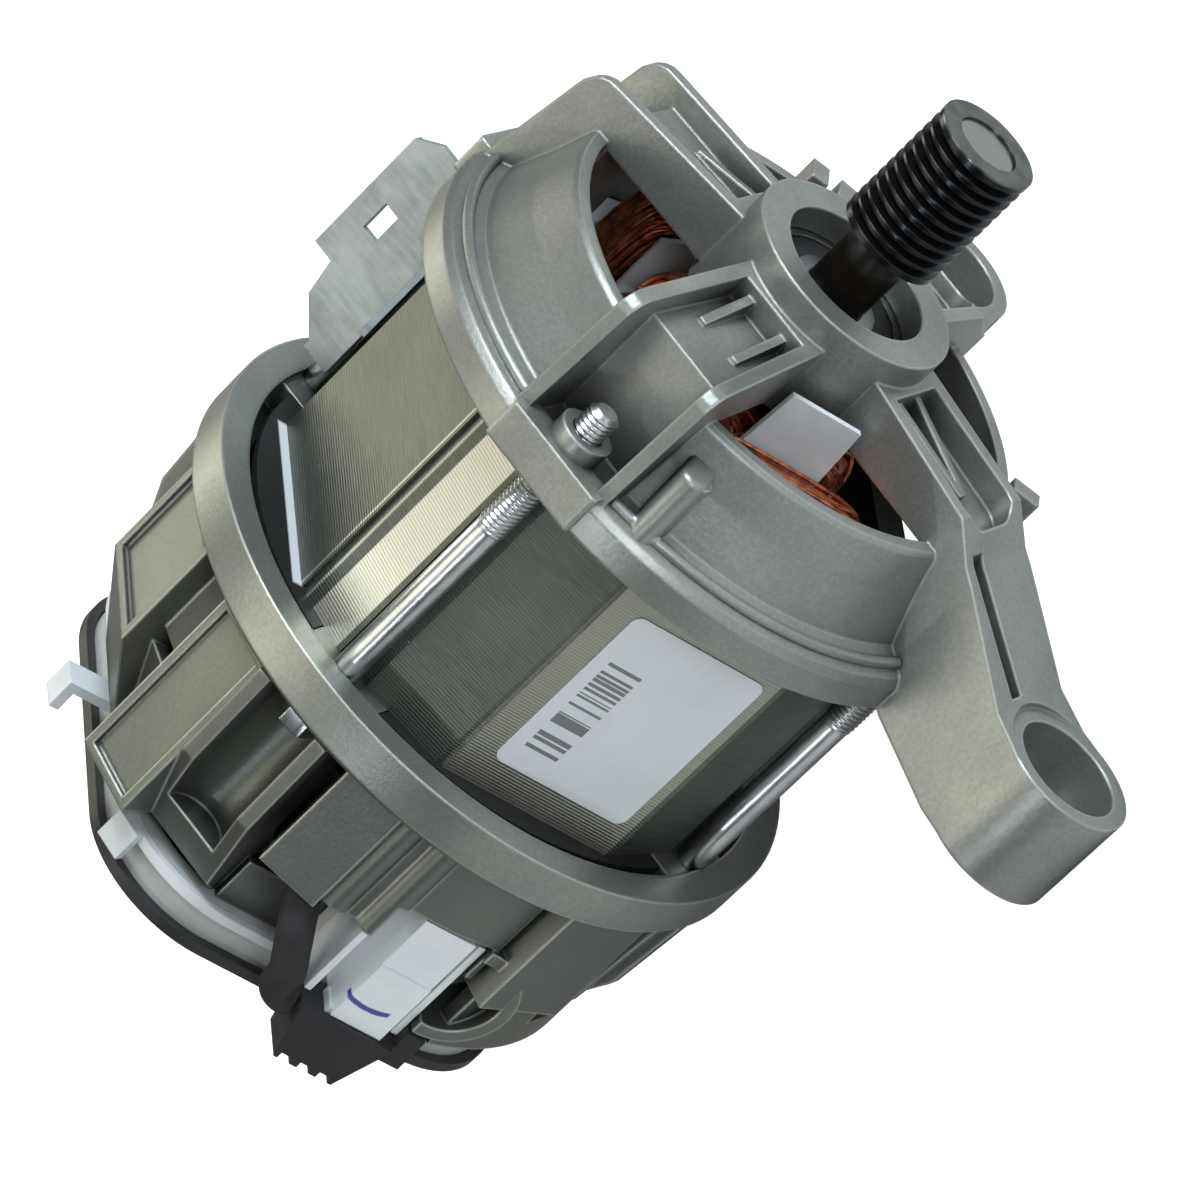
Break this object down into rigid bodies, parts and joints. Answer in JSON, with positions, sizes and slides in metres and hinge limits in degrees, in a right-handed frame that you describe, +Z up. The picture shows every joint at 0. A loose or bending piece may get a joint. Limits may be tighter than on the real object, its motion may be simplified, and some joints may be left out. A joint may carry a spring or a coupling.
{
  "type": "washing machine motor",
  "caption": "Brush motor for a washing machine: cast end shields on a laminated stack, belt pulley on the shaft, two mounting eyes and a side connector.",
  "frame": {"origin": "midpoint between the two mounting eyes, on their front faces", "axes": "+X along the shaft towards the belt pulley, +Y across the two eyes away from the connector side, +Z up to the shaft"},
  "size_m": [0.1957, 0.1596, 0.136],
  "materials": {
    "cast_aluminium": "rough cast",
    "lamination_steel": "stacked sheet",
    "zinc_steel": "zinc plated",
    "bearing_steel": "ground",
    "shaft_steel": "ground, heat tinted",
    "copper_wire": "enamelled wire",
    "copper_bars": "turned",
    "brass_sheet": "stamped",
    "white_plastic": "moulded",
    "black_plastic": "moulded",
    "brown_plastic": "moulded",
    "grey_plastic": "moulded",
    "connector_plastic": "moulded",
    "black_rubber": "matte",
    "carbon": "pressed",
    "pulley_black": "blackened",
    "magnet": "sintered",
    "label_paper": "paper"
  },
  "bodies": {
    "motor": {"front_shield": "cast_aluminium", "rear_shield": "cast_aluminium", "stator_core": "lamination_steel", "field_coil_near": "copper_wire", "field_coil_far": "copper_wire", "front_insulator_near": "white_plastic", "front_insulator_far": "white_plastic", "rear_insulator": "white_plastic", "through_bolts": "zinc_steel", "bearing_clip": "zinc_steel", "wave_washer": "zinc_steel", "brush_holder_screws": "zinc_steel", "brush_terminals": "brass_sheet", "rear_cover": "grey_plastic", "cover_screws": "zinc_steel", "cover_ring": "black_plastic", "sensor_coil": "black_plastic", "wiring_ring": "white_plastic", "connector_housing": "connector_plastic", "connector_boot": "black_rubber", "connector_pins": "brass_sheet", "connector_holder": "white_plastic", "lead_sleeve": "black_rubber", "earth_bracket": "zinc_steel", "rating_label": "label_paper", "front_bearing_outer": "bearing_steel", "front_bearing_balls": "bearing_steel", "front_bearing_seals": "black_plastic", "rear_bearing_outer": "bearing_steel", "rear_bearing_balls": "bearing_steel", "rear_bearing_seals": "black_plastic", "brush_holder_upper": "brown_plastic", "brush_guide_upper": "brass_sheet", "brush_spring_upper": "zinc_steel", "brush_holder_lower": "brown_plastic", "brush_guide_lower": "brass_sheet", "brush_spring_lower": "zinc_steel"},
    "rotor": {"shaft": "shaft_steel", "belt_pulley": "pulley_black", "front_bearing_inner": "bearing_steel", "rear_bearing_inner": "bearing_steel", "armature_core": "lamination_steel", "armature_winding": "copper_wire", "commutator_hub": "brown_plastic", "commutator_bars": "copper_bars", "tacho_magnet": "magnet"},
    "brush_upper": {"brush_upper": "carbon"},
    "brush_lower": {"brush_lower": "carbon"}
  },
  "joints": [
    {"name": "rotor_spin", "type": "hinge", "parent": "motor", "child": "rotor", "pos_m": [0, -0.00085, 0.05725], "axis": [1, 0, 0], "continuous": true},
    {"name": "brush_upper_slide", "type": "slide", "parent": "motor", "child": "brush_upper", "axis": [0, 0, 1], "range_m": [0, 0.008], "stiffness_N_per_m": 200, "springref_m": -0.01, "deforming": ["brush_spring_upper"]},
    {"name": "brush_lower_slide", "type": "slide", "parent": "motor", "child": "brush_lower", "axis": [0, 0, -1], "range_m": [0, 0.008], "stiffness_N_per_m": 200, "springref_m": -0.01, "deforming": ["brush_spring_lower"]}
  ]
}
